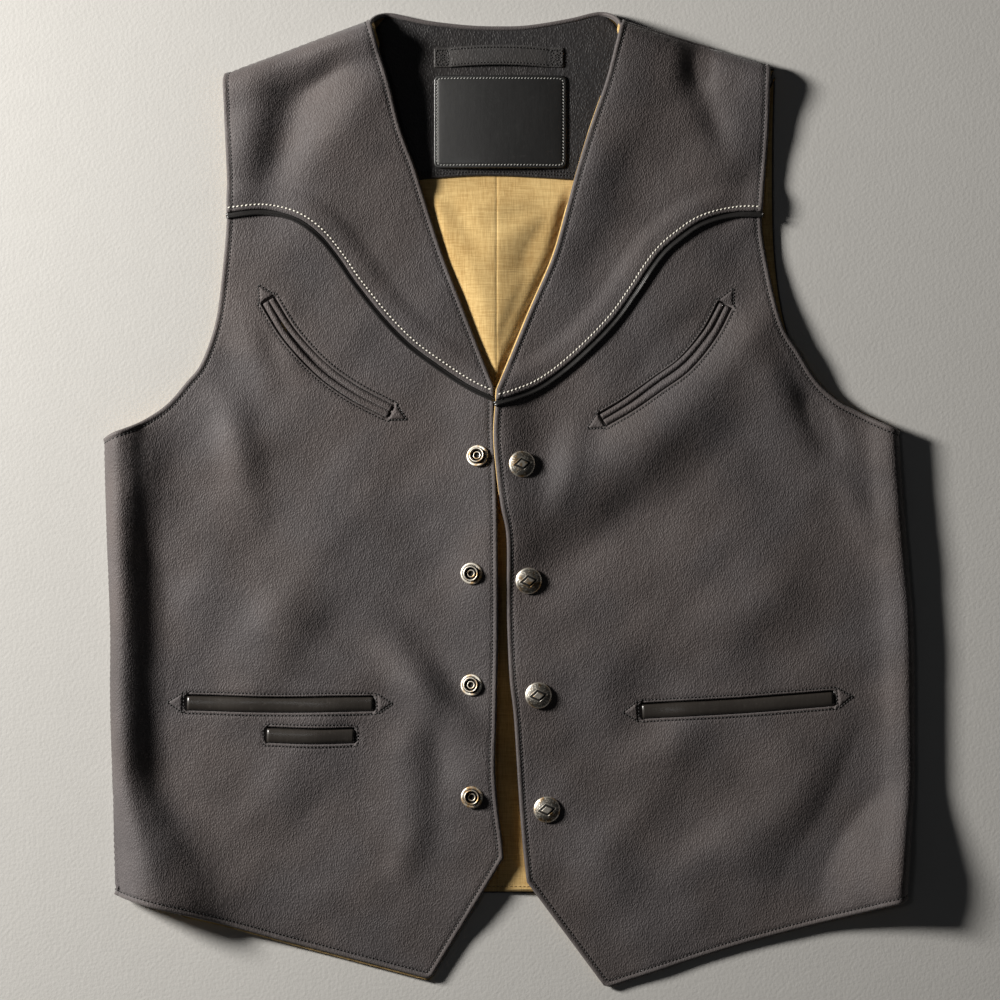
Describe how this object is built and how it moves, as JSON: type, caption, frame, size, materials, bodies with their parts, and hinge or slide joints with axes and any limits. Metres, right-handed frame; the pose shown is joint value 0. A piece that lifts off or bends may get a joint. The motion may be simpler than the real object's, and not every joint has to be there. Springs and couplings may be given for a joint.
{
  "type": "western vest",
  "caption": "Snap-front western vest of lined leather, laid flat on its back, with lapped and piped yokes, curved chest pockets, welt pockets and pointed front hems.",
  "frame": {"origin": "on the surface that the vest rests on, under the middle of its outline", "axes": "+Z out of the front of the vest, +Y towards the neck, +X towards the wearer's left side"},
  "size_m": [0.5679, 0.682, 0.0267],
  "materials": {
    "leather": "matte pebbled charcoal leather, worn lighter on the edges",
    "trim_leather": "smooth black leather with a low shine",
    "welt_leather": "glossy dark brown-black leather",
    "canvas": "woven golden cotton canvas",
    "snap_metal": "aged nickel over brass"
  },
  "bodies": {
    "root": {"back": "leather", "back_lining_right": "canvas", "back_lining_left": "canvas", "back_neck_facing": "leather", "label_patch": "trim_leather", "hanger_loop": "trim_leather", "front_right": "leather", "front_left": "leather", "yoke_right": "leather", "yoke_left": "leather", "front_lining_right": "canvas", "front_lining_left": "canvas", "piping_right": "trim_leather", "piping_left": "trim_leather", "chest_lip_upper_right": "leather", "chest_lip_lower_right": "leather", "chest_lip_upper_left": "leather", "chest_lip_lower_left": "leather", "lower_welt_right": "welt_leather", "lower_welt_left": "welt_leather", "coin_welt_right": "welt_leather", "chest_arrow_outer_right": "leather", "chest_arrow_inner_right": "leather", "chest_arrow_outer_left": "leather", "chest_arrow_inner_left": "leather", "lower_arrow_outer_right": "leather", "lower_arrow_inner_right": "leather", "lower_arrow_outer_left": "leather", "lower_arrow_inner_left": "leather", "snap_cap_1": "snap_metal", "snap_cap_2": "snap_metal", "snap_cap_3": "snap_metal", "snap_cap_4": "snap_metal", "snap_stud_1": "snap_metal", "snap_stud_2": "snap_metal", "snap_stud_3": "snap_metal", "snap_stud_4": "snap_metal"}
  },
  "joints": []
}
